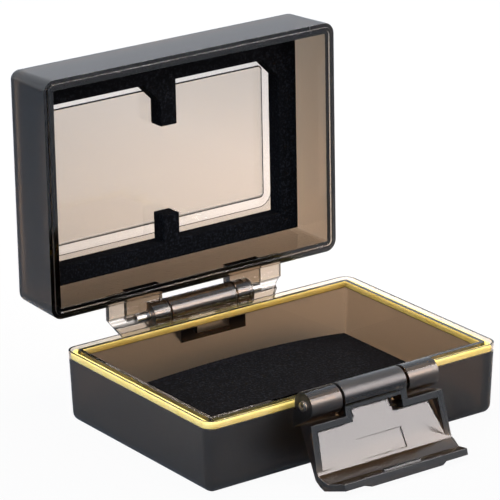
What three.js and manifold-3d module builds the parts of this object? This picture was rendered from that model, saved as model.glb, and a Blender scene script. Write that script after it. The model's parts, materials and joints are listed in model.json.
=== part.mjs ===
// A small hinged case for one camera battery and two memory cards, moulded in smoke-tinted
// polycarbonate, with a silicone rim seal, foam pads, two steel hinge pins and one snap latch.
// Millimetres, +Z up. The origin is on the table, under the centre of the base.
// The hinge is at the rear (+Y) and the latch at the front (-Y). The lid stands open.
import * as THREE from 'three';
import { mergeVertices } from 'three/addons/utils/BufferGeometryUtils.js';
import Module from 'manifold-3d';

const wasm = await Module();
wasm.setup();

// Overall sizes of the two shells, taken at the base's rim.
const CASE_WIDTH = 68;
const CASE_DEPTH = 47.4;
const BASE_HEIGHT = 14.4;
const LID_HEIGHT = 13.5;
const CORNER_RADIUS = 2.4;
const DRAFT_ANGLE = 2.2;
const EDGE_FILLET = 1.8;
const WALL = 2.6;
const LID_WALL = 2.2;
const FLOOR = 1.8;
const PANEL = 1.2;
const INNER_DRAFT_ANGLE = 1.5;
const INNER_FILLET = 0.4;
const PARTING_GAP = 0.2;

// A shallow channel in the lid's top frames its middle.
const PLATEAU_WIDTH = 50.8;
const PLATEAU_DEPTH = 27.6;
const PLATEAU_SHIFT = 0.2;
const PLATEAU_RADIUS = 1;
const PLATEAU_ROUND = 0.6;
const CHANNEL_WIDTH = 1.9;
const CHANNEL_DEPTH = 0.4;
const CHANNEL_DRAFT = 0.15;

// Rim: a groove between two lips on the base holds the seal, and a tongue on the lid enters it.
const OUTER_LIP = 0.4;
const GROOVE_WIDTH = 1.4;
const GROOVE_DEPTH = 1.6;
const SEAL_CLEARANCE = 0.08;
const SEAL_HEIGHT = 1.15;
const TONGUE_WIDTH = 0.6;
const TONGUE_REACH = 0.2;

// Foam pads.
const FOAM_CLEARANCE = 0.2;
const BASE_FOAM = 2;
const LID_FOAM = 3.6;
const CARD_WIDTH = 24;
const CARD_LENGTH = 32;
const CARD_CLIP = 4;
const CARD_EASE = 0.3;
const CARD_SPACING = 3.8;
const CARD_SHIFT = 0.45;
const FRONT_TAB = 9;
const REAR_TAB = 5.5;

// Hinge at the rear and latch pivot at the front share one barrel and one pin.
const BARREL_RADIUS = 2.7;
const PIN_RADIUS = 0.95;
const PIN_BORE = 0.5;
const PIN_SLIT = 0.35;
const PIN_CLEARANCE = 0.1;

// Rear hinge: the base's centre knuckle, and a lid flange with two lugs.
const HINGE_OFFSET = 3.9;
const HINGE_RISE = 0.4;
const HINGE_KNUCKLE = 15.4;
const KNUCKLE_GAP = 0.35;
const LUG_BARREL = 3.8;
const LUG_LENGTH = 8;
const SADDLE_RISE = 0.4;
const HINGE_PIN_LENGTH = 29.6;
const BRACKET_DROP = 5;
const BRACKET_LEDGE = 1;
const BRACKET_WINDOW_WIDTH = 7.6;
const BRACKET_WINDOW_HEIGHT = 1.9;
const BRACKET_SILL = 1.1;
const FLANGE_WIDTH = 41.2;
const FLANGE_RISE = 0.4;
const FLANGE_THICKNESS = 1.2;
const FLANGE_BEND = 0.6;
const FLANGE_REACH = 3.1;
const FLANGE_DIP = 0.9;
const FLANGE_CORNER = 2.7;
const OPEN_ANGLE = 91;

// Front latch.
const LATCH_OFFSET = 3;
const LATCH_DROP = 0.3;
const LATCH_BARREL = 14.4;
const LATCH_GAP = 0.6;
const LATCH_KNUCKLE = 7;
const LATCH_RELIEF = 2.8;
const LATCH_RELIEF_DEPTH = 1.6;
const LATCH_PIN_PROUD = 0.4;
const LATCH_WIDTH = 31.8;
const LATCH_FLARE = 0.6;
const LATCH_NECK = 3.5;
const LATCH_WALL = 1.4;
const LATCH_RIM = 2.1;
const LATCH_PLATE = 1.2;
const LATCH_FLOOR = 0.95;
const LATCH_TILT = 14.2;
const LATCH_WEB = 2.4;
const LATCH_PORT = 1.5;
const LATCH_PORT_LENGTH = 1.9;
const LATCH_PANEL_WIDTH = 10.4;
const LATCH_PANEL_LENGTH = 3.7;
const LATCH_PANEL_FOOT = 8.4;
const LATCH_PANEL_DEPTH = 0.25;
const HOOK_GAP = 0.3;
const HOOK_THICKNESS = 1.3;
const HOOK_REACH = 8.2;
const HOOK_RAMP = 2.2;
const HOOK_TAPER = 1.6;
const HOOK_CHAMFER = 2;
const BEAD_RADIUS = 0.45;
const BEAD_LENGTH = 8.6;
const BEAD_SETBACK = 1.5;
const TAB_LENGTH = 18.4;
const TAB_DEPTH = 2.6;
const TAB_RISE = 0.55;
const TAB_SLANT = 0.9;
const LATCH_HANG = 15.5;

// Fineness of the round stretches.
const CORNER_STEPS = 8;
const FILLET_STEPS = 5;
const BARREL_SIDES = 40;
const PIN_SIDES = 24;
const SMALLEST_RADIUS = 0.2;
const OVERRUN = 1;

// Sizes that follow from the ones above.
const RIM_TOP = BASE_HEIGHT;
const LID_RIM = BASE_HEIGHT + PARTING_GAP;
const LID_TOP = LID_RIM + LID_HEIGHT;
const HINGE_Z = BASE_HEIGHT + HINGE_RISE;
const LATCH_Z = BASE_HEIGHT - LATCH_DROP;
const REAR_WALL = CASE_DEPTH / 2;
const HINGE_Y = REAR_WALL + HINGE_OFFSET;
const LATCH_Y = -REAR_WALL - LATCH_OFFSET;
const GROOVE_FLOOR = RIM_TOP - GROOVE_DEPTH;
const PIN_HOLE = PIN_RADIUS + PIN_CLEARANCE;
const slope = (degrees) => Math.tan(THREE.MathUtils.degToRad(degrees));
const OUTER_SLOPE = slope(DRAFT_ANGLE);
const INNER_SLOPE = slope(INNER_DRAFT_ANGLE);
const BASE_CAVITY_DEPTH = BASE_HEIGHT - FLOOR;
const LID_CAVITY_DEPTH = LID_HEIGHT - PANEL;

// Closed solids and the joins and cuts between them.
function solid(geometry) {
  const bare = geometry.clone();
  bare.deleteAttribute('normal');
  bare.deleteAttribute('uv');
  const merged = mergeVertices(bare, 1e-4);
  return new wasm.Manifold(
    new wasm.Mesh({
      numProp: 3,
      vertProperties: merged.attributes.position.array,
      triVerts: Uint32Array.from(merged.index.array),
    }),
  );
}

function join(...pieces) {
  return pieces.reduce((whole, piece) => whole.add(piece));
}

function cut(body, ...tools) {
  return tools.reduce((rest, tool) => rest.subtract(tool), body);
}

function toGeometry(body) {
  const mesh = body.getMesh();
  const geometry = new THREE.BufferGeometry();
  const positions = new THREE.BufferAttribute(mesh.vertProperties, mesh.numProp);
  geometry.setAttribute('position', positions);
  geometry.setIndex(new THREE.BufferAttribute(mesh.triVerts, 1));
  geometry.computeVertexNormals();
  return geometry;
}

// One round of the case in plan: a rounded rectangle set in from the rim's outer edge.
function caseOutline(inset) {
  return roundedOutline(CASE_WIDTH - 2 * inset, CASE_DEPTH - 2 * inset, CORNER_RADIUS - inset);
}

function roundedOutline(width, depth, radius) {
  const round = Math.max(radius, SMALLEST_RADIUS);
  const centres = [[1, 1], [-1, 1], [-1, -1], [1, -1]];
  return centres.flatMap(([sx, sy], corner) =>
    Array.from({ length: CORNER_STEPS + 1 }, (_, step) => {
      const turn = ((corner + step / CORNER_STEPS) * Math.PI) / 2;
      const x = sx * (width / 2 - round) + round * Math.cos(turn);
      const y = sy * (depth / 2 - round) + round * Math.sin(turn);
      return [x, y];
    }),
  );
}

// A skin over a stack of outlines with equal point counts: capped at both ends, or closed on itself.
function loft(outlines, heights, closed = false) {
  const count = outlines[0].length;
  const rows = outlines.length;
  const positions = outlines.flatMap((outline, row) => outline.flatMap(([x, y]) => [x, y, heights[row]]));
  const faces = [];
  const lastRow = closed ? rows : rows - 1;
  for (let row = 0; row < lastRow; row++) {
    for (let i = 0; i < count; i++) {
      const next = (i + 1) % count;
      const above = (row + 1) % rows;
      const [a, b] = [row * count + i, row * count + next];
      const [d, c] = [above * count + i, above * count + next];
      faces.push(a, b, c, a, c, d);
    }
  }
  if (!closed) {
    const top = (rows - 1) * count;
    for (let i = 1; i < count - 1; i++) {
      faces.push(0, i + 1, i, top, top + i, top + i + 1);
    }
  }
  const geometry = new THREE.BufferGeometry();
  geometry.setAttribute('position', new THREE.Float32BufferAttribute(positions, 3));
  geometry.setIndex(faces);
  return solid(geometry);
}

// A profile of [inset, height] points carried round the case's outline.
function carriedRound(profile, closed = false) {
  const outlines = profile.map(([inset]) => caseOutline(inset));
  const heights = profile.map(([, height]) => height);
  return loft(outlines, heights, closed);
}

function arc(centre, radius, from, to) {
  return Array.from({ length: FILLET_STEPS + 1 }, (_, step) => {
    const angle = THREE.MathUtils.degToRad(from + ((to - from) * step) / FILLET_STEPS);
    return [centre[0] + radius * Math.cos(angle), centre[1] + radius * Math.sin(angle)];
  });
}

function flatShape(points) {
  return new THREE.Shape(points.map(([x, y]) => new THREE.Vector2(x, y)));
}

// A profile in Y and Z, drawn out along X from one place to another.
function drawnAlongX(points, from, to) {
  const geometry = new THREE.ExtrudeGeometry(flatShape(points), { depth: to - from, bevelEnabled: false });
  const [x, y, z] = [[1, 0, 0], [0, 1, 0], [0, 0, 1]].map((v) => new THREE.Vector3(...v));
  geometry.applyMatrix4(new THREE.Matrix4().makeBasis(y, z, x));
  geometry.translate(from, 0, 0);
  return solid(geometry);
}

// An outline in X and Y, raised along Z.
function raised(shape, from, to) {
  const geometry = new THREE.ExtrudeGeometry(shape, { depth: to - from, bevelEnabled: false });
  geometry.translate(0, 0, from);
  return solid(geometry);
}

// An outline in X and Z, drawn out along Y.
function drawnAlongY(points, from, to) {
  const geometry = new THREE.ExtrudeGeometry(flatShape(points), { depth: to - from, bevelEnabled: false });
  geometry.rotateX(Math.PI / 2);
  geometry.translate(0, to, 0);
  return solid(geometry);
}

function block(low, high) {
  const size = high.map((value, i) => value - low[i]);
  const geometry = new THREE.BoxGeometry(...size);
  geometry.translate(...low.map((value, i) => value + size[i] / 2));
  return solid(geometry);
}

function rod(radius, y, z, from, to, sides) {
  const geometry = new THREE.CylinderGeometry(radius, radius, to - from, sides);
  geometry.rotateZ(Math.PI / 2);
  geometry.translate((from + to) / 2, y, z);
  return solid(geometry);
}

// The same maker on both sides of the middle, given a stretch of X counted outwards.
function bothSides(make, from, to) {
  return join(make(from, to), make(-to, -from));
}

// Base: outer wall with draft and a rounded foot, hollowed by its cavity and the seal groove.
function baseBody() {
  const foot = OUTER_SLOPE * BASE_HEIGHT;
  const footArc = arc([0, EDGE_FILLET], EDGE_FILLET, -90, -DRAFT_ANGLE);
  const outside = footArc.map(([out, height]) => [foot + EDGE_FILLET - out, height]);
  return carriedRound([...outside, [0, RIM_TOP]]);
}

function baseCavity() {
  const foot = WALL + INNER_SLOPE * BASE_CAVITY_DEPTH;
  const footArc = arc([0, FLOOR + INNER_FILLET], INNER_FILLET, -90, -INNER_DRAFT_ANGLE);
  const inside = footArc.map(([out, height]) => [foot + INNER_FILLET - out, height]);
  return carriedRound([...inside, [WALL, RIM_TOP], [WALL, RIM_TOP + OVERRUN]]);
}

function sealGroove() {
  const inner = OUTER_LIP + GROOVE_WIDTH;
  const top = RIM_TOP + OVERRUN;
  const round = [[OUTER_LIP, GROOVE_FLOOR], [OUTER_LIP, top], [inner, top], [inner, GROOVE_FLOOR]];
  return carriedRound(round, true);
}

// A barrel's bracket: from the wall to the barrel, with a sloped underside and a ledge on top.
function bracketProfile(wall, axis, height, ledge) {
  const away = Math.sign(axis - wall);
  const reach = BARREL_RADIUS * Math.SQRT1_2;
  const low = height - BRACKET_DROP;
  const inWall = wall - away * (OUTER_SLOPE * (RIM_TOP - low) + OVERRUN / 2);
  const points = [
    [inWall, low],
    [wall, low],
    [axis + away * reach, height - reach],
    [axis, height],
    [axis - away * reach, RIM_TOP - ledge],
    [inWall, RIM_TOP - ledge],
  ];
  return away > 0 ? points : points.reverse();
}

function rearBracket() {
  const half = HINGE_KNUCKLE / 2;
  const sill = HINGE_Z - BRACKET_DROP + BRACKET_SILL;
  const windowLow = [-BRACKET_WINDOW_WIDTH / 2, REAR_WALL, sill];
  const windowHigh = [BRACKET_WINDOW_WIDTH / 2, HINGE_Y + BARREL_RADIUS, sill + BRACKET_WINDOW_HEIGHT];
  const web = drawnAlongX(bracketProfile(REAR_WALL, HINGE_Y, HINGE_Z, BRACKET_LEDGE), -half, half);
  const barrel = rod(BARREL_RADIUS, HINGE_Y, HINGE_Z, -half, half, BARREL_SIDES);
  const hole = rod(PIN_HOLE, HINGE_Y, HINGE_Z, -CASE_WIDTH, CASE_WIDTH, PIN_SIDES);
  return cut(join(web, barrel), block(windowLow, windowHigh), hole);
}

function frontKnuckles() {
  const from = LATCH_BARREL / 2 + LATCH_GAP;
  const to = from + LATCH_KNUCKLE;
  const web = (ledge) => {
    const profile = bracketProfile(-REAR_WALL, LATCH_Y, LATCH_Z, ledge);
    return (low, high) => drawnAlongX(profile, low, high);
  };
  const inner = bothSides(web(PARTING_GAP), from, to - LATCH_RELIEF);
  const outer = bothSides(web(LATCH_RELIEF_DEPTH), from, to);
  const barrel = (low, high) => rod(BARREL_RADIUS, LATCH_Y, LATCH_Z, low, high, BARREL_SIDES);
  const hole = rod(PIN_HOLE, LATCH_Y, LATCH_Z, -CASE_WIDTH, CASE_WIDTH, PIN_SIDES);
  return cut(join(inner, outer, bothSides(barrel, from, to)), hole);
}

function baseShell() {
  return cut(join(baseBody(), rearBracket(), frontKnuckles()), baseCavity(), sealGroove());
}

// Seal: a cord with a rounded top that lies in the base's groove.
function sealRing() {
  const outer = OUTER_LIP + SEAL_CLEARANCE;
  const inner = OUTER_LIP + GROOVE_WIDTH - SEAL_CLEARANCE;
  const radius = (inner - outer) / 2;
  const low = GROOVE_FLOOR + SEAL_CLEARANCE;
  const crown = arc([0, low + SEAL_HEIGHT - radius], radius, 0, 180);
  const top = crown.map(([out, height]) => [outer + radius - out, height]);
  return carriedRound([[outer, low], ...top, [inner, low]], true);
}

function baseFoam() {
  const cavity = WALL + INNER_SLOPE * BASE_CAVITY_DEPTH + INNER_FILLET;
  const outline = flatShape(caseOutline(cavity + FOAM_CLEARANCE));
  const low = FLOOR + FOAM_CLEARANCE / 2;
  return raised(outline, low, low + BASE_FOAM);
}

// Lid, drawn shut: outer wall with draft and a rounded top edge, its cavity, and the rim's tongue.
function lidBody() {
  const shoulder = OUTER_SLOPE * LID_HEIGHT;
  const topArc = arc([0, LID_TOP - EDGE_FILLET], EDGE_FILLET, DRAFT_ANGLE, 90);
  const outside = topArc.map(([out, height]) => [shoulder + EDGE_FILLET - out, height]);
  return carriedRound([[0, LID_RIM], ...outside]);
}

function lidCavity() {
  const roof = LID_TOP - PANEL;
  const shoulder = LID_WALL + INNER_SLOPE * LID_CAVITY_DEPTH;
  const roofArc = arc([0, roof - INNER_FILLET], INNER_FILLET, INNER_DRAFT_ANGLE, 90);
  const inside = roofArc.map(([out, height]) => [shoulder + INNER_FILLET - out, height]);
  return carriedRound([[LID_WALL, LID_RIM - OVERRUN], [LID_WALL, LID_RIM], ...inside]);
}

function lidTongue() {
  const outer = OUTER_LIP + (GROOVE_WIDTH - TONGUE_WIDTH) / 2;
  const inner = outer + TONGUE_WIDTH;
  const tip = RIM_TOP - TONGUE_REACH;
  const root = LID_RIM + OVERRUN;
  return carriedRound([[outer, tip], [outer, root], [inner, root], [inner, tip]], true);
}

function panelChannel() {
  const outline = (out) => {
    const points = roundedOutline(PLATEAU_WIDTH + 2 * out, PLATEAU_DEPTH + 2 * out, PLATEAU_RADIUS + out);
    return points.map(([x, y]) => [x, y + PLATEAU_SHIFT]);
  };
  const outer = CHANNEL_WIDTH + CHANNEL_DRAFT;
  const [floor, top] = [LID_TOP - CHANNEL_DEPTH, LID_TOP + OVERRUN];
  const edge = arc([-PLATEAU_ROUND, LID_TOP - PLATEAU_ROUND], PLATEAU_ROUND, 90, 0);
  const bottom = [[0, floor], [CHANNEL_WIDTH, floor]];
  const side = [[outer, LID_TOP], [outer, top], [-PLATEAU_ROUND, top]];
  const profile = [...bottom, ...side, ...edge];
  const outlines = profile.map(([out]) => outline(out));
  const heights = profile.map(([, height]) => height);
  return loft(outlines, heights, true);
}

// Flange: a thin plate behind the lid's rim that dips over the barrels, with cut-off corners.
function lidFlange() {
  const low = HINGE_Z + FLANGE_RISE;
  const high = low + FLANGE_THICKNESS;
  const bend = HINGE_Y - FLANGE_BEND;
  const end = HINGE_Y + FLANGE_REACH;
  const inWall = REAR_WALL - OVERRUN;
  const side = [
    [inWall, low],
    [bend, low],
    [end, low - FLANGE_DIP],
    [end, high - FLANGE_DIP],
    [bend, high],
    [inWall, high],
  ];
  const half = FLANGE_WIDTH / 2;
  const plan = [
    [-half, inWall],
    [half, inWall],
    [half, bend],
    [half - FLANGE_CORNER, end],
    [FLANGE_CORNER - half, end],
    [-half, bend],
  ];
  const plate = drawnAlongX(side, -half, half);
  return plate.intersect(raised(flatShape(plan), low - FLANGE_DIP - OVERRUN, high + OVERRUN));
}

// Lugs: a block tangent to the barrel's top. Its outer stretch is an open saddle over the pin.
function lidLugs() {
  const from = HINGE_KNUCKLE / 2 + KNUCKLE_GAP;
  const inWall = REAR_WALL - OVERRUN;
  const top = HINGE_Z + BARREL_RADIUS;
  const saddle = [
    [inWall, HINGE_Z + SADDLE_RISE],
    [HINGE_Y + BARREL_RADIUS / 2, HINGE_Z + SADDLE_RISE],
    [HINGE_Y, top],
    [inWall, top],
  ];
  const blocks = bothSides((low, high) => drawnAlongX(saddle, low, high), from, from + LUG_LENGTH);
  const barrels = bothSides(
    (low, high) => rod(BARREL_RADIUS, HINGE_Y, HINGE_Z, low, high, BARREL_SIDES),
    from,
    from + LUG_BARREL,
  );
  return join(blocks, barrels);
}

// Room for the base's centre knuckle, and for the latch's bead on the lid's front edge.
function knuckleNotch() {
  const half = HINGE_KNUCKLE / 2 + KNUCKLE_GAP;
  const low = HINGE_Z - BARREL_RADIUS - OVERRUN;
  const high = HINGE_Z + BARREL_RADIUS + OVERRUN;
  const inWall = REAR_WALL - OVERRUN;
  return block([-half, inWall, low], [half, HINGE_Y + BARREL_RADIUS + OVERRUN, high]);
}

function beadGroove() {
  const half = BEAD_LENGTH / 2 + HOOK_GAP;
  const y = LATCH_Y + HOOK_REACH - BEAD_SETBACK;
  return rod(BEAD_RADIUS + HOOK_GAP, y, LID_TOP + HOOK_GAP, -half, half, PIN_SIDES);
}

function lidShell() {
  const hole = rod(PIN_HOLE, HINGE_Y, HINGE_Z, -CASE_WIDTH, CASE_WIDTH, PIN_SIDES);
  const hinge = cut(join(lidFlange(), lidLugs()), knuckleNotch(), hole);
  return join(cut(join(lidBody(), hinge), lidCavity(), beadGroove(), panelChannel()), lidTongue());
}

// Lid foam: a sheet whose window is two card pockets, parted by a tab at the front and the rear.
function lidFoam() {
  const cavity = LID_WALL + INNER_SLOPE * LID_CAVITY_DEPTH + INNER_FILLET;
  const sheet = flatShape(caseOutline(cavity + FOAM_CLEARANCE));
  const pocket = CARD_WIDTH + 2 * CARD_EASE;
  const half = CARD_LENGTH / 2 + CARD_EASE;
  const [front, rear] = [CARD_SHIFT - half, CARD_SHIFT + half];
  const tab = CARD_SPACING / 2;
  const side = tab + pocket;
  const window = [
    [-side, rear],
    [-side, front],
    [-tab - CARD_CLIP, front],
    [-tab, front + CARD_CLIP],
    [-tab, front + FRONT_TAB],
    [tab, front + FRONT_TAB],
    [tab, front],
    [side - CARD_CLIP, front],
    [side, front + CARD_CLIP],
    [side, rear],
    [tab, rear],
    [tab, rear - REAR_TAB],
    [-tab, rear - REAR_TAB],
    [-tab, rear],
  ];
  sheet.holes.push(new THREE.Path(window.map(([x, y]) => new THREE.Vector2(x, y))));
  const high = LID_TOP - PANEL - FOAM_CLEARANCE;
  return raised(sheet, high - LID_FOAM, high);
}

// Spring pin: a rolled steel tube with one slit along it.
function rolledPin(y, z, length) {
  const half = length / 2;
  const tube = rod(PIN_RADIUS, y, z, -half, half, PIN_SIDES);
  const bore = rod(PIN_BORE, y, z, -half - OVERRUN, half + OVERRUN, PIN_SIDES);
  const slitLow = [-half - OVERRUN, y - PIN_SLIT / 2, z];
  const slitHigh = [half + OVERRUN, y + PIN_SLIT / 2, z + PIN_RADIUS + OVERRUN];
  return cut(tube, bore, block(slitLow, slitHigh));
}

// Latch, drawn shut: a sloping plate with a rim wall, hung on its barrel, that ends in a hook.
// Heights are counted up from the pivot and depths from the pivot towards the lid.
const PLATE_SLOPE = slope(LATCH_TILT);
const PLATE_LEAN = Math.hypot(1, PLATE_SLOPE);
const HOOK_UNDER = LID_TOP + HOOK_GAP - LATCH_Z;
const HOOK_TOP = HOOK_UNDER + HOOK_THICKNESS;
const RAMP_FOOT = HOOK_UNDER - HOOK_RAMP * Math.SQRT1_2;
const plateFace = (height) => height * PLATE_SLOPE - LATCH_FLOOR;
const plateBack = (height) => plateFace(height) - LATCH_PLATE * PLATE_LEAN;
const fromPivot = ([depth, height]) => [LATCH_Y + depth, LATCH_Z + height];

function latchSide() {
  const chamferFoot = HOOK_TOP - HOOK_CHAMFER;
  const rimEnd = (LATCH_RIM - plateFace(0)) / PLATE_SLOPE;
  return [
    [LATCH_RIM, 0],
    [LATCH_RIM, rimEnd],
    [plateFace(RAMP_FOOT), RAMP_FOOT],
    [plateFace(RAMP_FOOT) + HOOK_RAMP, HOOK_UNDER],
    [HOOK_REACH, HOOK_UNDER],
    [HOOK_REACH, HOOK_TOP],
    [plateBack(chamferFoot) + HOOK_CHAMFER, HOOK_TOP],
    [plateBack(chamferFoot), chamferFoot],
    [plateBack(0), 0],
  ].map(fromPivot);
}

// The latch seen from the front: a neck between the base's knuckles, then square shoulders.
function latchFront(inset) {
  const neck = LATCH_BARREL / 2 - inset;
  const half = LATCH_WIDTH / 2 - inset;
  const narrow = half - LATCH_FLARE;
  const foot = inset > 0 ? LATCH_WEB : 0;
  const shoulder = LATCH_NECK + inset;
  const top = HOOK_TOP + OVERRUN;
  const outline = [
    [-neck, foot],
    [neck, foot],
    [neck, shoulder],
    [narrow, shoulder],
    [half, top],
    [-half, top],
    [-narrow, shoulder],
    [-neck, shoulder],
  ];
  const points = outline.map(([x, height]) => [x, LATCH_Z + height]);
  return drawnAlongY(points, LATCH_Y - 2 * BARREL_RADIUS, LATCH_Y + HOOK_REACH + OVERRUN);
}

// In plan the hook narrows towards its lip.
function latchPlan() {
  const half = LATCH_WIDTH / 2;
  const [back, rim, lip] = [-2 * BARREL_RADIUS, LATCH_RIM, HOOK_REACH].map((depth) => LATCH_Y + depth);
  const outline = [
    [-half, back],
    [half, back],
    [half, rim],
    [half - HOOK_TAPER, lip],
    [HOOK_TAPER - half, lip],
    [-half, rim],
  ];
  return raised(flatShape(outline), LATCH_Z - OVERRUN, LATCH_Z + HOOK_TOP + OVERRUN);
}

function latchPocket() {
  const side = [
    [plateFace(LATCH_WEB), LATCH_WEB],
    [HOOK_REACH, LATCH_WEB],
    [HOOK_REACH, RAMP_FOOT],
    [plateFace(RAMP_FOOT), RAMP_FOOT],
  ].map(fromPivot);
  return drawnAlongX(side, -LATCH_WIDTH, LATCH_WIDTH).intersect(latchFront(LATCH_WALL));
}

// A shallow recessed panel in the plate's face.
function latchPanel() {
  const [foot, top] = [LATCH_PANEL_FOOT, LATCH_PANEL_FOOT + LATCH_PANEL_LENGTH];
  const side = [
    [plateFace(foot) - LATCH_PANEL_DEPTH, foot],
    [plateFace(foot) + OVERRUN, foot],
    [plateFace(top) + OVERRUN, top],
    [plateFace(top) - LATCH_PANEL_DEPTH, top],
  ].map(fromPivot);
  return drawnAlongX(side, -LATCH_PANEL_WIDTH / 2, LATCH_PANEL_WIDTH / 2);
}

function latchPorts() {
  const outer = LATCH_BARREL / 2 - LATCH_WALL;
  const low = LATCH_Z + LATCH_WEB;
  const high = low + LATCH_PORT_LENGTH;
  const back = LATCH_Y - 2 * BARREL_RADIUS;
  const port = (from, to) => block([from, back, low], [to, LATCH_Y + LATCH_RIM, high]);
  return bothSides(port, outer - LATCH_PORT, outer);
}

function fingerTab() {
  const half = TAB_LENGTH / 2;
  const foot = LATCH_Z + HOOK_TOP;
  const outline = [
    [-half, foot - HOOK_THICKNESS / 2],
    [half, foot - HOOK_THICKNESS / 2],
    [half, foot],
    [half - TAB_SLANT, foot + TAB_RISE],
    [TAB_SLANT - half, foot + TAB_RISE],
    [-half, foot],
  ];
  return drawnAlongY(outline, LATCH_Y + HOOK_REACH - TAB_DEPTH, LATCH_Y + HOOK_REACH);
}

function latch() {
  const half = LATCH_WIDTH / 2;
  const tray = drawnAlongX(latchSide(), -half, half).intersect(latchFront(0)).intersect(latchPlan());
  const barrelHalf = LATCH_BARREL / 2;
  const barrel = rod(BARREL_RADIUS, LATCH_Y, LATCH_Z, -barrelHalf, barrelHalf, BARREL_SIDES);
  const beadY = LATCH_Y + HOOK_REACH - BEAD_SETBACK;
  const beadHeight = LATCH_Z + HOOK_UNDER;
  const bead = rod(BEAD_RADIUS, beadY, beadHeight, -BEAD_LENGTH / 2, BEAD_LENGTH / 2, PIN_SIDES);
  const hole = rod(PIN_HOLE, LATCH_Y, LATCH_Z, -CASE_WIDTH, CASE_WIDTH, PIN_SIDES);
  const hollow = cut(tray, latchPocket(), latchPorts(), latchPanel());
  return cut(join(hollow, barrel, bead, fingerTab()), hole);
}

// Finishes.
const smoke = { color: 0x4a4441, roughness: 0.15, metalness: 0, transparent: true, opacity: 0.75 };
const silicone = { color: 0xd9b63a, roughness: 0.5, metalness: 0 };
const foam = { color: 0x17181b, roughness: 0.95, metalness: 0 };
const steel = { color: 0xc9c9c9, roughness: 0.25, metalness: 1 };

function piece(name, body, finish) {
  const mesh = new THREE.Mesh(toGeometry(body), new THREE.MeshStandardMaterial(finish));
  mesh.name = name;
  return mesh;
}

// A group whose pieces are drawn shut and then turned about a pivot line along X.
function turnedAbout(y, z, degrees, ...pieces) {
  const pivot = new THREE.Group();
  pivot.position.set(0, y, z);
  pivot.rotation.x = THREE.MathUtils.degToRad(degrees);
  pieces.forEach((mesh) => {
    mesh.position.set(0, -y, -z);
    pivot.add(mesh);
  });
  return pivot;
}

const latchPinLength = LATCH_BARREL + 2 * (LATCH_GAP + LATCH_KNUCKLE + LATCH_PIN_PROUD);
const batteryCase = new THREE.Group();
batteryCase.add(
  piece('base_shell', baseShell(), smoke),
  piece('seal_ring', sealRing(), silicone),
  piece('base_foam', baseFoam(), foam),
  piece('hinge_pin', rolledPin(HINGE_Y, HINGE_Z, HINGE_PIN_LENGTH), steel),
  piece('latch_pin', rolledPin(LATCH_Y, LATCH_Z, latchPinLength), steel),
  turnedAbout(
    HINGE_Y,
    HINGE_Z,
    -OPEN_ANGLE,
    piece('lid_shell', lidShell(), smoke),
    piece('lid_foam', lidFoam(), foam),
  ),
  turnedAbout(LATCH_Y, LATCH_Z, 180 - LATCH_HANG, piece('latch', latch(), smoke)),
);

export default batteryCase;
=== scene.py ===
# %% [markdown]
# # A hinged battery case
#
# The object is a small hard case for one camera battery and two memory cards. Its shells and latch
# are moulded in smoke-tinted clear plastic, a pale yellow silicone cord seals the rim, and black
# foam lines the floor and the lid. The pieces could be modelled anew, but then two sets of sizes
# would have to agree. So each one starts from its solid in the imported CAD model, and this lesson
# gives it the edges, the fine form and the finish of the real piece. Blender counts in metres and
# the case is only centimetres wide, so sizes are written in millimetres, times the factor MM.

# %% Load the frame
import json
import math

import bmesh
import bpy
from mathutils import Matrix, Vector

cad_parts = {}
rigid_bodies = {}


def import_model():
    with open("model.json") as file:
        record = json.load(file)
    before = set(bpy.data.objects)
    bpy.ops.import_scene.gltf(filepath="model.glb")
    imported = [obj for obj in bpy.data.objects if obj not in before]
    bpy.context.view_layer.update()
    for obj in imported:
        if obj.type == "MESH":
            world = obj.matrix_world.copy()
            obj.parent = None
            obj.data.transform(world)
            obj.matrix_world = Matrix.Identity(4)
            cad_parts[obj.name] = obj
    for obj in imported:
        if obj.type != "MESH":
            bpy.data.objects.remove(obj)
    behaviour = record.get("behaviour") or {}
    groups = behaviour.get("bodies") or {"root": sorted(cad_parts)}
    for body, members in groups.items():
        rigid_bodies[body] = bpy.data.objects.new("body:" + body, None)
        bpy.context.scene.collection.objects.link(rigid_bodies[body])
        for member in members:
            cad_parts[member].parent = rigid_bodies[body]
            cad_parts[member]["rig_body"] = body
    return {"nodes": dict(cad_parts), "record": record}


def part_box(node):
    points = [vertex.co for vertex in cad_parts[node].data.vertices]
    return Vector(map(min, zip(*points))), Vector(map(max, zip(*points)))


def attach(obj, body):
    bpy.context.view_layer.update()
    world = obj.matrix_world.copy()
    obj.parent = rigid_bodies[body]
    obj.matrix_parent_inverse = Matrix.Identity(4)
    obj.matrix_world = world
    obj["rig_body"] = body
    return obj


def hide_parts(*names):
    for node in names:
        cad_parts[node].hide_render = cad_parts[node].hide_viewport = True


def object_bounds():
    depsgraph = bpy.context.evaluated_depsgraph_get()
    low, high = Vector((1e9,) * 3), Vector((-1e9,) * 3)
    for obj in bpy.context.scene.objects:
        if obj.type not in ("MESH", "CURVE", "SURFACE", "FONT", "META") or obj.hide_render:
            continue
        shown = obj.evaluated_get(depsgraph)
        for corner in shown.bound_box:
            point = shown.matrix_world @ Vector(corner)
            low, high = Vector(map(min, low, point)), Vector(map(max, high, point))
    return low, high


MM = 0.001

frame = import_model()
cad_low, cad_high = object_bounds()
print("CAD box, mm:", [round(v / MM, 1) for v in (*cad_low, *cad_high)])

# %% [markdown]
# ## Small helpers
#
# Colours are written as the eye picks them, in sRGB hex, and turned to the linear values that
# shaders need. Nodes could be added and linked line by line, but one function that adds a node with
# its settings and links keeps a material short enough to read.

# %% Helpers
def linear(hex_colour):
    """An sRGB hex colour as the linear red, green, blue and alpha that a shader takes."""
    shares = [int(hex_colour[i : i + 2], 16) / 255 for i in (1, 3, 5)]
    toe = [s / 12.92 if s <= 0.04045 else ((s + 0.055) / 1.055) ** 2.4 for s in shares]
    return (*toe, 1.0)


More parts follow.
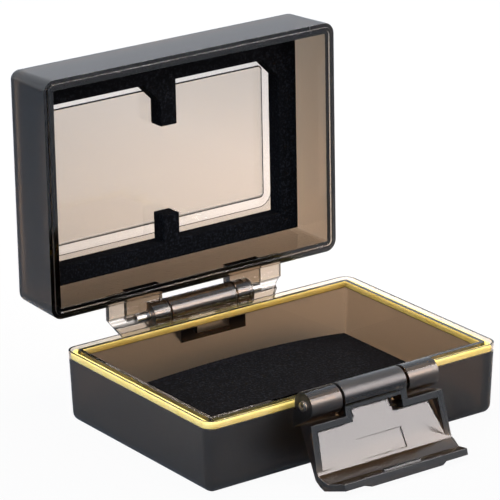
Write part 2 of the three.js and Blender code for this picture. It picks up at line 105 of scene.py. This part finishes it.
def add_node(tree, kind, inputs=None, **settings):
    """A node with its settings. Each input is a plain value, or the socket that feeds it."""
    node = tree.nodes.new(kind)
    for name, value in settings.items():
        setattr(node, name, value)
    for name, value in (inputs or {}).items():
        if isinstance(value, bpy.types.NodeSocket):
            tree.links.new(value, node.inputs[name])
        else:
            node.inputs[name].default_value = value
    return node


def new_material(name):
    """An empty node material, its tree and its output node."""
    material = bpy.data.materials.new(name)
    material.use_nodes = True
    material.node_tree.nodes.clear()
    output = material.node_tree.nodes.new("ShaderNodeOutputMaterial")
    return material, material.node_tree, output


def object_from(bm, name):
    """A bmesh as a new object at the origin, with its place in its mesh."""
    mesh = bpy.data.meshes.new(name)
    bm.to_mesh(mesh)
    bm.free()
    piece = bpy.data.objects.new(name, mesh)
    bpy.context.scene.collection.objects.link(piece)
    return piece


WHITE = linear("#ffffff")
print("the middle grey #808080 in linear light:", round(linear("#808080")[0], 3))

# %% [markdown]
# ## The camera
#
# The case is seen from its front left and a little above, with a long lens. A camera can be placed
# by eye, but then straight edges run a little wrong. So its direction, distance and aim were fitted
# to the edges of the case, and it is built from three axes: towards the camera, right and up. A
# small shift keeps the framing.

# %% Camera
CAMERA_AZIMUTH = math.radians(-35.761)
CAMERA_ELEVATION = math.radians(19.628)
CAMERA_ROLL = math.radians(-0.516)
CAMERA_DISTANCE = 685.87 * MM
CAMERA_AIM = (-6.871 * MM, 30.887 * MM)
CAMERA_SHIFT = (0.01073, 0.00934)
FOCAL_LENGTH_MM = 257.767
SENSOR_WIDTH_MM = 36.0
NEAREST_SEEN = 10 * MM

flat_reach = math.cos(CAMERA_ELEVATION)
to_camera = Vector(
    (
        math.sin(CAMERA_AZIMUTH) * flat_reach,
        -math.cos(CAMERA_AZIMUTH) * flat_reach,
        math.sin(CAMERA_ELEVATION),
    )
)
right = Vector((math.cos(CAMERA_AZIMUTH), math.sin(CAMERA_AZIMUTH), 0.0))
up = to_camera.cross(right)
rolled_right = right * math.cos(CAMERA_ROLL) + up * math.sin(CAMERA_ROLL)
rolled_up = up * math.cos(CAMERA_ROLL) - right * math.sin(CAMERA_ROLL)

lens = bpy.data.cameras.new("camera")
lens.sensor_width = SENSOR_WIDTH_MM
lens.lens = FOCAL_LENGTH_MM
lens.shift_x, lens.shift_y = CAMERA_SHIFT
lens.clip_start = NEAREST_SEEN
camera = bpy.data.objects.new("camera", lens)
place = to_camera * CAMERA_DISTANCE + right * CAMERA_AIM[0] + up * CAMERA_AIM[1]
turn = Matrix((rolled_right, rolled_up, to_camera)).transposed().to_4x4()
camera.matrix_world = Matrix.Translation(place) @ turn
bpy.context.scene.collection.objects.link(camera)
bpy.context.scene.camera = camera
print("camera at, mm:", [round(v / MM, 1) for v in place])

# %% [markdown]
# ## The white room
#
# Clear plastic shows little of its own: it bends and mirrors what stands around it. A room could be
# built of walls and a ceiling, but a world colour shines from every side at once. Its light on the
# case is a little blue, while the camera and clear plastic see it plain white. Gloss sees some of
# each, so its highlights are a little blue too.

# %% White room
COOL_WHITE = linear("#d4e6ff")
FILL_LIGHT = 1.2
ROOM_SHOWN = {"Is Camera Ray": 1.0, "Is Glossy Ray": 0.6, "Is Transmission Ray": 1.0}

bpy.context.scene.view_settings.view_transform = "Standard"


def shown_white(tree, shares):
    """How far a backdrop shows plain white instead of its own light, for each kind of ray."""
    path = add_node(tree, "ShaderNodeLightPath")
    most = 0.0
    for ray, share in shares.items():
        part = add_node(
            tree,
            "ShaderNodeMath",
            {0: path.outputs[ray], 1: share},
            operation="MULTIPLY",
        )
        larger = add_node(
            tree,
            "ShaderNodeMath",
            {0: part.outputs[0], 1: most},
            operation="MAXIMUM",
        )
        most = larger.outputs[0]
    return most


world = bpy.data.worlds.new("white studio")
bpy.context.scene.world = world
world.use_nodes = True
sky = world.node_tree
sky.nodes.clear()
fill = add_node(sky, "ShaderNodeBackground", {"Color": COOL_WHITE, "Strength": FILL_LIGHT})
backdrop = add_node(sky, "ShaderNodeBackground", {"Color": WHITE, "Strength": 1.0})
either = add_node(
    sky,
    "ShaderNodeMixShader",
    {0: shown_white(sky, ROOM_SHOWN), 1: fill.outputs[0], 2: backdrop.outputs[0]},
)
add_node(sky, "ShaderNodeOutputWorld", {"Surface": either.outputs[0]})
print("white room, fill light:", FILL_LIGHT)

# %% [markdown]
# ## The stage
#
# The case stands on a sheet of matt paper. White paper all round would shine up through every wall,
# and dark paper would put out the window in the lid. So the sheet has painted shade: it goes from grey
# at the front left, a painted shadow that the near walls mirror so that they stay dark, to white behind
# and on the right, where it lights the clear ones. To the camera it is nearly white by itself and keeps
# a faint shadow. Clear plastic sees more of its own tone, and gloss sees nothing else.

# %% Stage
# Painted shade: the paper's grey at the front left stands in for shade near the case, mirrored dark by
# the near walls.
PAINTED_SHADE_GREY = linear("#7a7a7a")
PAPER_WHITE = linear("#f4f4f4")
PAINTED_SHADE_UP_TO = (-40 * MM, -30 * MM)
WHITE_FROM = (90 * MM, 50 * MM)
PAPER_SHOWN = {"Is Camera Ray": 0.95, "Is Transmission Ray": 0.3}
FLOOR_HALF = 3.0


def paper_with_painted_shade():
    """Matt rolled paper, grey painted shade at front left to white: to the eye an even, nearly white
    floor.
    """
    material, tree, output = new_material("paper with painted shade")
    where = add_node(tree, "ShaderNodeTexCoord")
    spot = add_node(tree, "ShaderNodeSeparateXYZ", {0: where.outputs["Object"]})
    past_painted_shade = 1.0
    for axis, start, end in zip("XY", PAINTED_SHADE_UP_TO, WHITE_FROM):
        along = add_node(
            tree,
            "ShaderNodeMapRange",
            {"Value": spot.outputs[axis], "From Min": start, "From Max": end},
        )
        both = add_node(
            tree,
            "ShaderNodeMath",
            {0: along.outputs[0], 1: past_painted_shade},
            operation="MULTIPLY",
        )
        past_painted_shade = both.outputs[0]
    # Painted shade: grey paper near the front left, fading to white behind and on the right.
    tone = add_node(
        tree,
        "ShaderNodeMix",
        {"Factor": past_painted_shade, "A": PAINTED_SHADE_GREY, "B": PAPER_WHITE},
        data_type="RGBA",
    )
    sheet = add_node(tree, "ShaderNodeBsdfDiffuse", {"Color": tone.outputs["Result"]})
    glow = add_node(tree, "ShaderNodeEmission", {"Color": WHITE, "Strength": 1.0})
    lit = add_node(
        tree,
        "ShaderNodeMixShader",
        {0: shown_white(tree, PAPER_SHOWN), 1: sheet.outputs[0], 2: glow.outputs[0]},
    )
    tree.links.new(lit.outputs[0], output.inputs["Surface"])
    return material


bm = bmesh.new()
bmesh.ops.create_grid(bm, x_segments=1, y_segments=1, size=FLOOR_HALF)
floor = object_from(bm, "floor")
floor.data.materials.append(paper_with_painted_shade())
print("stage, m across:", 2 * FLOOR_HALF)

# %% [markdown]
# ## Soft boxes
#
# Two soft boxes light the case. The latch's plate is tilted so that it mirrors the right one, which
# makes the plate shine while the walls stay dark. The left one is larger, bluer and higher, and
# lights the lid's top. A third one, small and warm, hangs over the paper behind the case and adds to
# the tan of the window. Glowing planes would do as well, but area lamps give the same soft light with
# less noise. Places and sizes are in millimetres, and the spread of the light is in degrees.

# %% Soft boxes
SOFT_BOXES = {
    "right soft box": {
        "at": (165, -197, 178),
        "aim": (0, 6, 31),
        "size": (240, 170),
        "spread": 180,
        "watts": 1.0,
        "light": "#fff6f4",
    },
    "left soft box": {
        "at": (-375, -119, 336),
        "aim": (0, 6, 31),
        "size": (450, 450),
        "spread": 180,
        "watts": 5.0,
        "light": "#d2e5ff",
    },
    "rear soft box": {
        "at": (45, 70, 420),
        "aim": (42, 50, 0),
        "size": (200, 200),
        "spread": 45,
        "watts": 0.26,
        "light": "#ffdcb4",
    },
}

case_middle = (cad_low + cad_high) / 2
for name, box in SOFT_BOXES.items():
    lamp = bpy.data.lights.new(name, "AREA")
    lamp.shape = "RECTANGLE"
    lamp.size, lamp.size_y = (side * MM for side in box["size"])
    lamp.spread = math.radians(box["spread"])
    lamp.energy = box["watts"]
    lamp.color = linear(box["light"])[:3]
    stand = Vector(box["at"]) * MM
    soft_box = bpy.data.objects.new(name, lamp)
    soft_box.location = stand
    soft_box.rotation_euler = (stand - Vector(box["aim"]) * MM).to_track_quat("Z", "Y").to_euler()
    bpy.context.scene.collection.objects.link(soft_box)
    print(name, "stands off, mm:", round((stand - case_middle).length / MM))

# %% [markdown]
# ## Satin and polish
#
# The mould is polished inside the case and has a fine satin grain outside, so near walls hide what
# is behind them while the inside stays clear. Each shell could have two materials, but one material
# with a face attribute named satin keeps colour and depth the same on both sides. Real mould grain is
# a few hundredths of a millimetre wide, too fine to show, so it is drawn ten times as coarse.
#
# The rim's outer lip is so thin that light passes it nearly whole and reaches the seal. Cycles stops
# a lamp's light at a surface that refracts, so on faces with the attribute lip shadow rays go by.

# %% Satin and polish
POLYCARBONATE_IOR = 1.585
SATIN_ROUGHNESS = 0.33
GRAIN_MM = 0.4
GRAIN_HEIGHT_MM = 0.03
GRAIN_DETAIL = 1.0


def grained_plastic(tree, polished):
    """The shader of clear plastic: smooth where polished, rougher and grained where satin."""
    satin = add_node(tree, "ShaderNodeAttribute", attribute_name="satin")
    rough = add_node(
        tree,
        "ShaderNodeMapRange",
        {"Value": satin.outputs["Fac"], "To Min": polished, "To Max": SATIN_ROUGHNESS},
    )
    where = add_node(tree, "ShaderNodeTexCoord")
    grain = add_node(
        tree,
        "ShaderNodeTexNoise",
        {"Vector": where.outputs["Object"], "Scale": 1 / (GRAIN_MM * MM), "Detail": GRAIN_DETAIL},
    )
    bump = add_node(
        tree,
        "ShaderNodeBump",
        {
            "Height": grain.outputs[0],
            "Strength": satin.outputs["Fac"],
            "Distance": GRAIN_HEIGHT_MM * MM,
        },
    )
    return add_node(
        tree,
        "ShaderNodeBsdfPrincipled",
        {
            "Base Color": WHITE,
            "Roughness": rough.outputs[0],
            "IOR": POLYCARBONATE_IOR,
            "Transmission Weight": 1.0,
            "Normal": bump.outputs[0],
        },
    )


def lit_through_lip(tree, plastic):
    """The plastic's shader, which lets shadow rays by on the faces of the thin rim lip."""
    path = add_node(tree, "ShaderNodeLightPath")
    lip = add_node(tree, "ShaderNodeAttribute", attribute_name="lip")
    lets_light_by = add_node(
        tree,
        "ShaderNodeMath",
        {0: path.outputs["Is Shadow Ray"], 1: lip.outputs["Fac"]},
        operation="MULTIPLY",
    )
    clear = add_node(tree, "ShaderNodeBsdfTransparent")
    return add_node(
        tree,
        "ShaderNodeMixShader",
        {0: lets_light_by.outputs[0], 1: plastic.outputs[0], 2: clear.outputs[0]},
    )


print("satin grain, mm:", GRAIN_MM, "wide and", GRAIN_HEIGHT_MM, "high")

# %% [markdown]
# ## Smoke polycarbonate
#
# The shells are injection-moulded polycarbonate with a little dye in the melt. Dye takes light along
# the whole way through, so thin places such as the lid's top look tan, walls look brown and thick
# lugs look nearly black. A colour on the surface can't do that, but an absorbing volume can: its
# loss per metre is its density times one minus its colour. The latch has about twice the dye.

# %% Smoke polycarbonate
SHELL_LOSS_PER_MM = (0.6, 0.725, 0.88)
LATCH_LOSS_PER_MM = (1.2, 1.5, 1.9)
DYE_DENSITY = 4000.0
SHELL_POLISH = 0.05
LATCH_POLISH = 0.1


def smoke_polycarbonate(name, loss_per_mm, polished):
    """Moulded polycarbonate with dye: brown glass to the eye, darker where the light's way is long."""
    material, tree, output = new_material(name)
    surface = lit_through_lip(tree, grained_plastic(tree, polished))
    dye_colour = [1 - loss / MM / DYE_DENSITY for loss in loss_per_mm]
    dye = add_node(
        tree,
        "ShaderNodeVolumeAbsorption",
        {"Color": (*dye_colour, 1.0), "Density": DYE_DENSITY},
    )
    tree.links.new(surface.outputs[0], output.inputs["Surface"])
    tree.links.new(dye.outputs[0], output.inputs["Volume"])
    return material


shell_plastic = smoke_polycarbonate("smoke polycarbonate, light dye", SHELL_LOSS_PER_MM, SHELL_POLISH)
latch_plastic = smoke_polycarbonate("smoke polycarbonate, heavy dye", LATCH_LOSS_PER_MM, LATCH_POLISH)
print("red light left after 1 mm of shell:", round(math.exp(-SHELL_LOSS_PER_MM[0]), 2))

# %% [markdown]
# ## Rounded copies of the solids
#
# The CAD solids have knife edges, and no real edge is that sharp. A Bevel modifier could round them
# all, but bmesh lets the script choose. A copy of each solid is merged, its flat triangles are joined
# to whole faces, and its outer sharp edges get a fine round that catches a line of light. The base's
# rounds are finer than the lid's, because a wider one on its clear rim shows as a bright line.

# %% Rounded copies
MERGE_WITHIN = 0.03 * MM
FLAT_WITHIN = math.radians(0.6)
SHARP_FROM = math.radians(28)
MOULDED_ROUND_STEPS = 2
EDGE_ROUND_MM = {
    "base_shell": 0.05,
    "lid_shell": 0.12,
    "latch": 0.12,
    "seal_ring": 0.03,
    "hinge_pin": 0.05,
    "latch_pin": 0.05,
    "base_foam": 0.3,
    "lid_foam": 0.25,
}


def round_sharp_edges(bm, node, steps):
    """Round the outer sharp edges of a bmesh by the node's own radius."""
    sharp = [e for e in bm.edges if e.is_convex and e.calc_face_angle() > SHARP_FROM]
    bmesh.ops.bevel(
        bm,
        geom=sharp,
        offset=EDGE_ROUND_MM[node] * MM,
        offset_type="OFFSET",
        affect="EDGES",
        segments=steps,
        profile=0.5,
        material=-1,
    )
    print(node, "edges rounded:", len(sharp))


def rounded_copy(node, join_flats=True):
    """A merged copy of a CAD node in a bmesh, with its outer sharp edges rounded."""
    bm = bmesh.new()
    bm.from_mesh(frame["nodes"][node].data)
    bmesh.ops.remove_doubles(bm, verts=bm.verts, dist=MERGE_WITHIN)
    if join_flats:
        bmesh.ops.dissolve_limit(bm, angle_limit=FLAT_WITHIN, verts=bm.verts, edges=bm.edges)
    bm.normal_update()
    round_sharp_edges(bm, node, MOULDED_ROUND_STEPS)
    bm.normal_update()
    return bm


print("edge rounds, mm:", min(EDGE_ROUND_MM.values()), "to", max(EDGE_ROUND_MM.values()))

# %% [markdown]
# ## Standing for a solid
#
# A finished piece takes the place of its CAD node, rides on the same body and gets one material slot
# with its finish. Smooth shading alone would bend the light over whole walls, and flat shading would
# show every facet. So only the rounds are smooth, and normals are weighted by area, which keeps flats
# optically flat.

# %% Standing for a solid
ROUND_UP_TO = math.radians(40)
HOLLOW_UP_TO = math.radians(20)


def stands_for(bm, node, material):
    """The finished object that stands for a CAD node, on its body and in its material slot."""
    for face in bm.faces:
        face.smooth = True
    for edge in bm.edges:
        edge.smooth = edge.calc_face_angle() < (ROUND_UP_TO if edge.is_convex else HOLLOW_UP_TO)
    loose = sum(not edge.is_manifold for edge in bm.edges)
    piece = object_from(bm, f"{node}_finished")
    piece.data.materials.append(material)
    even = piece.modifiers.new("even shading", "WEIGHTED_NORMAL")
    even.keep_sharp = True
    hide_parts(node)
    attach(piece, frame["nodes"][node]["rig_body"])
    print(piece.name, "faces:", len(piece.data.polygons), "open edges:", loose)
    return piece


print("outer edges are smooth up to, degrees:", round(math.degrees(ROUND_UP_TO)))

# %% [markdown]
# ## Shells and latch
#
# Which faces are satin could be picked by hand, but they can be found: they look away from the middle
# of the space that the shell holds. The base's upward faces, the lid's rim and top and the base's rim
# round the seal are polished. A level cut parts that rim from the outer wall, so that polish and satin
# meet in a clean line.

# %% Shells and latch
POLISHED_LEAN = 0.7
RIM_MARGIN = 0.8 * MM
UP = Vector((0, 0, 1))
BACK = Vector((0, 1, 0))


def mark_satin(bm, middle, polished_ways, rim_box=None):
    """Mark the faces that look out of a shell, apart from polished ways and a polished rim."""
    if rim_box:
        whole = [*bm.verts, *bm.edges, *bm.faces]
        bmesh.ops.bisect_plane(bm, geom=whole, plane_co=rim_box[0], plane_no=UP)
    satin = bm.faces.layers.float.new("satin")
    lip = bm.faces.layers.float.new("lip")
    for face in bm.faces:
        centre = face.calc_center_median()
        looks_out = face.normal.dot(centre - middle) > 0
        polished = any(face.normal.dot(way) > POLISHED_LEAN for way in polished_ways)
        on_rim = bool(rim_box) and all(lo < c < hi for lo, c, hi in zip(rim_box[0], centre, rim_box[1]))
        face[satin] = float(looks_out and not polished and not on_rim)
        face[lip] = float(on_rim)
    print("satin faces:", int(sum(face[satin] for face in bm.faces)), "of", len(bm.faces))


cavities = {}
for opening in frame["record"]["physics"]["openings"]:
    low, high = (Vector(corner) for corner in opening["box_m"])
    cavities[opening["name"]] = (low + high) / 2

seal_low, seal_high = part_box("seal_ring")
beside = Vector((RIM_MARGIN, RIM_MARGIN, 0))
seal_rim = (seal_low - beside, seal_high + beside + UP * RIM_MARGIN)

base_mesh = rounded_copy("base_shell")
mark_satin(base_mesh, cavities["base_cavity"], [UP], seal_rim)
stands_for(base_mesh, "base_shell", shell_plastic)

lid_mesh = rounded_copy("lid_shell")
mark_satin(lid_mesh, cavities["lid_cavity"], [BACK, -BACK])
stands_for(lid_mesh, "lid_shell", shell_plastic)

latch_low, latch_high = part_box("latch")
latch_mesh = rounded_copy("latch")
mark_satin(latch_mesh, (latch_low + latch_high) / 2, [])
stands_for(latch_mesh, "latch", latch_plastic)

# %% [markdown]
# ## Silicone seal
#
# The cord is extruded pale yellow silicone, laid in the rim's groove. It could have one flat colour,
# but silicone lets a little light in under its skin, so it glows where the light is strong and goes
# golden in the shade. A soft mottle of two yellows stands for the uneven skin of an extruded cord.

# %% Silicone seal
SILICONE_YELLOW = linear("#d4be50")
SILICONE_PALE = linear("#dfd18b")
SILICONE_IOR = 1.41
SILICONE_ROUGHNESS = 0.45
MOTTLE_MM = 2.5
MOTTLE_DETAIL = 1.0
GLOW_SHARE = 0.15
GLOW_MM = 0.5
GLOW_REACH = (1.0, 0.7, 0.25)


def pale_silicone():
    """Extruded silicone: matt and a little waxy to the eye, with light scattered under the skin."""
    material, tree, output = new_material("pale yellow silicone")
    where = add_node(tree, "ShaderNodeTexCoord")
    mottle = add_node(
        tree,
        "ShaderNodeTexNoise",
        {"Vector": where.outputs["Object"], "Scale": 1 / (MOTTLE_MM * MM), "Detail": MOTTLE_DETAIL},
    )
    shade = add_node(
        tree,
        "ShaderNodeMix",
        {"Factor": mottle.outputs[0], "A": SILICONE_YELLOW, "B": SILICONE_PALE},
        data_type="RGBA",
    )
    shader = add_node(
        tree,
        "ShaderNodeBsdfPrincipled",
        {
            "Base Color": shade.outputs["Result"],
            "Roughness": SILICONE_ROUGHNESS,
            "IOR": SILICONE_IOR,
            "Subsurface Weight": GLOW_SHARE,
            "Subsurface Radius": GLOW_REACH,
            "Subsurface Scale": GLOW_MM * MM,
        },
    )
    tree.links.new(shader.outputs[0], output.inputs["Surface"])
    return material


stands_for(rounded_copy("seal_ring"), "seal_ring", pale_silicone())

# %% [markdown]
# ## Rolled pins
#
# The hinges turn on spring pins: steel strip, drawn and rolled to a tube with a slit along it. One
# roughness would make them look like chrome. Drawing leaves lines along the pin, so the roughness
# changes across it in streaks. The real lines are finer than a hair and wouldn't show, so these are
# drawn coarser.

# %% Rolled pins
STEEL_GREY = linear("#b8b5b0")
STEEL_ROUGHNESS = (0.14, 0.34)
DRAWN_LINE_MM = 0.12
DRAWN_LINE_STRETCH = 40
DRAWN_LINE_DETAIL = 2.0


def rolled_steel():
    """Drawn and rolled spring steel: a grey metal whose gloss runs in streaks along the pin."""
    material, tree, output = new_material("rolled spring steel")
    where = add_node(tree, "ShaderNodeTexCoord")
    drawn = add_node(
        tree,
        "ShaderNodeMapping",
        {"Vector": where.outputs["Object"], "Scale": (1 / DRAWN_LINE_STRETCH, 1.0, 1.0)},
    )
    lines = add_node(
        tree,
        "ShaderNodeTexNoise",
        {"Vector": drawn.outputs[0], "Scale": 1 / (DRAWN_LINE_MM * MM), "Detail": DRAWN_LINE_DETAIL},
    )
    rough = add_node(
        tree,
        "ShaderNodeMapRange",
        {"Value": lines.outputs[0], "To Min": STEEL_ROUGHNESS[0], "To Max": STEEL_ROUGHNESS[1]},
    )
    shader = add_node(
        tree,
        "ShaderNodeBsdfPrincipled",
        {"Base Color": STEEL_GREY, "Metallic": 1.0, "Roughness": rough.outputs[0]},
    )
    tree.links.new(shader.outputs[0], output.inputs["Surface"])
    return material


steel = rolled_steel()
for node in ("hinge_pin", "latch_pin"):
    stands_for(rounded_copy(node), node, steel)

# %% [markdown]
# ## Black foam
#
# Both pads are closed-cell foam. A flat black would look like paint: cut cells leave tiny walls that
# catch a little light. Modelled cells would take millions of faces, so a noise lightens the walls and
# lifts the surface a little. The real cells are about half as wide, too fine to show, so these are
# drawn coarser.

# %% Black foam
FOAM_BLACK = linear("#030304")
FOAM_GREY = linear("#1b1c1f")
FOAM_ROUGHNESS = 0.9
FOAM_GLOSS = 0.05
CELL_MM = 0.45
CELL_DETAIL = 2.0
CELL_SHARPNESS = 0.7
CELL_DEPTH_MM = 0.08
CELL_RELIEF = 0.6
WALL_NOISE = (0.5, 0.75)


def black_foam():
    """Cut closed-cell foam: matt black to the eye, with a faint grey sparkle of cell walls."""
    material, tree, output = new_material("black closed-cell foam")
    where = add_node(tree, "ShaderNodeTexCoord")
    cells = add_node(
        tree,
        "ShaderNodeTexNoise",
        {
            "Vector": where.outputs["Object"],
            "Scale": 1 / (CELL_MM * MM),
            "Detail": CELL_DETAIL,
            "Roughness": CELL_SHARPNESS,
        },
    )
    walls = add_node(
        tree,
        "ShaderNodeMapRange",
        {"Value": cells.outputs[0], "From Min": WALL_NOISE[0], "From Max": WALL_NOISE[1]},
    )
    shade = add_node(
        tree,
        "ShaderNodeMix",
        {"Factor": walls.outputs[0], "A": FOAM_BLACK, "B": FOAM_GREY},
        data_type="RGBA",
    )
    bump = add_node(
        tree,
        "ShaderNodeBump",
        {"Height": cells.outputs[0], "Strength": CELL_RELIEF, "Distance": CELL_DEPTH_MM * MM},
    )
    shader = add_node(
        tree,
        "ShaderNodeBsdfPrincipled",
        {
            "Base Color": shade.outputs["Result"],
            "Roughness": FOAM_ROUGHNESS,
            "Specular IOR Level": FOAM_GLOSS,
            "Normal": bump.outputs[0],
        },
    )
    tree.links.new(shader.outputs[0], output.inputs["Surface"])
    return material


foam = black_foam()
print("foam cells, mm:", CELL_MM)

# %% [markdown]
# ## Foam pads
#
# Both pads are die-cut from sheet. The lid's pad keeps its solid's pockets, with soft edges. The
# base's pad is pressed in a little oversize, so it bows: its rear edge lifts off the floor, most of
# all a little right of the middle. Cloth simulation could bow it, but the bow is one plain curve, so
# a flat grid is thickened, rounded along its cut edges and then bent by a formula.

# %% Foam pads
PAD_STEPS = 32
PAD_ROUND_STEPS = 3
PAD_BOW = 1.45 * MM
PAD_BOW_LEAN = 0.25
HALF_UNIT = 0.5


def bowed_pad():
    """The base's pad in a bmesh: a sheet with rounded cut edges whose rear edge bows up."""
    low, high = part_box("base_foam")
    size = high - low
    bm = bmesh.new()
    bmesh.ops.create_grid(bm, x_segments=PAD_STEPS, y_segments=PAD_STEPS, size=HALF_UNIT)
    bmesh.ops.scale(bm, vec=(size.x, size.y, 1.0), verts=bm.verts)
    bmesh.ops.translate(bm, vec=((low.x + high.x) / 2, (low.y + high.y) / 2, low.z), verts=bm.verts)
    bmesh.ops.solidify(bm, geom=bm.faces[:], thickness=-size.z)
    bmesh.ops.recalc_face_normals(bm, faces=bm.faces)
    round_sharp_edges(bm, "base_foam", PAD_ROUND_STEPS)
    for vert in bm.verts:
        across = 2 * (vert.co.x - low.x) / size.x - 1
        to_rear = (vert.co.y - low.y) / size.y
        vert.co.z += PAD_BOW * (1 - across**2) * (1 + PAD_BOW_LEAN * across) * to_rear**2
    bm.normal_update()
    return bm


base_pad = stands_for(bowed_pad(), "base_foam", foam)

lid_pad = stands_for(rounded_copy("lid_foam", join_flats=False), "lid_foam", foam)
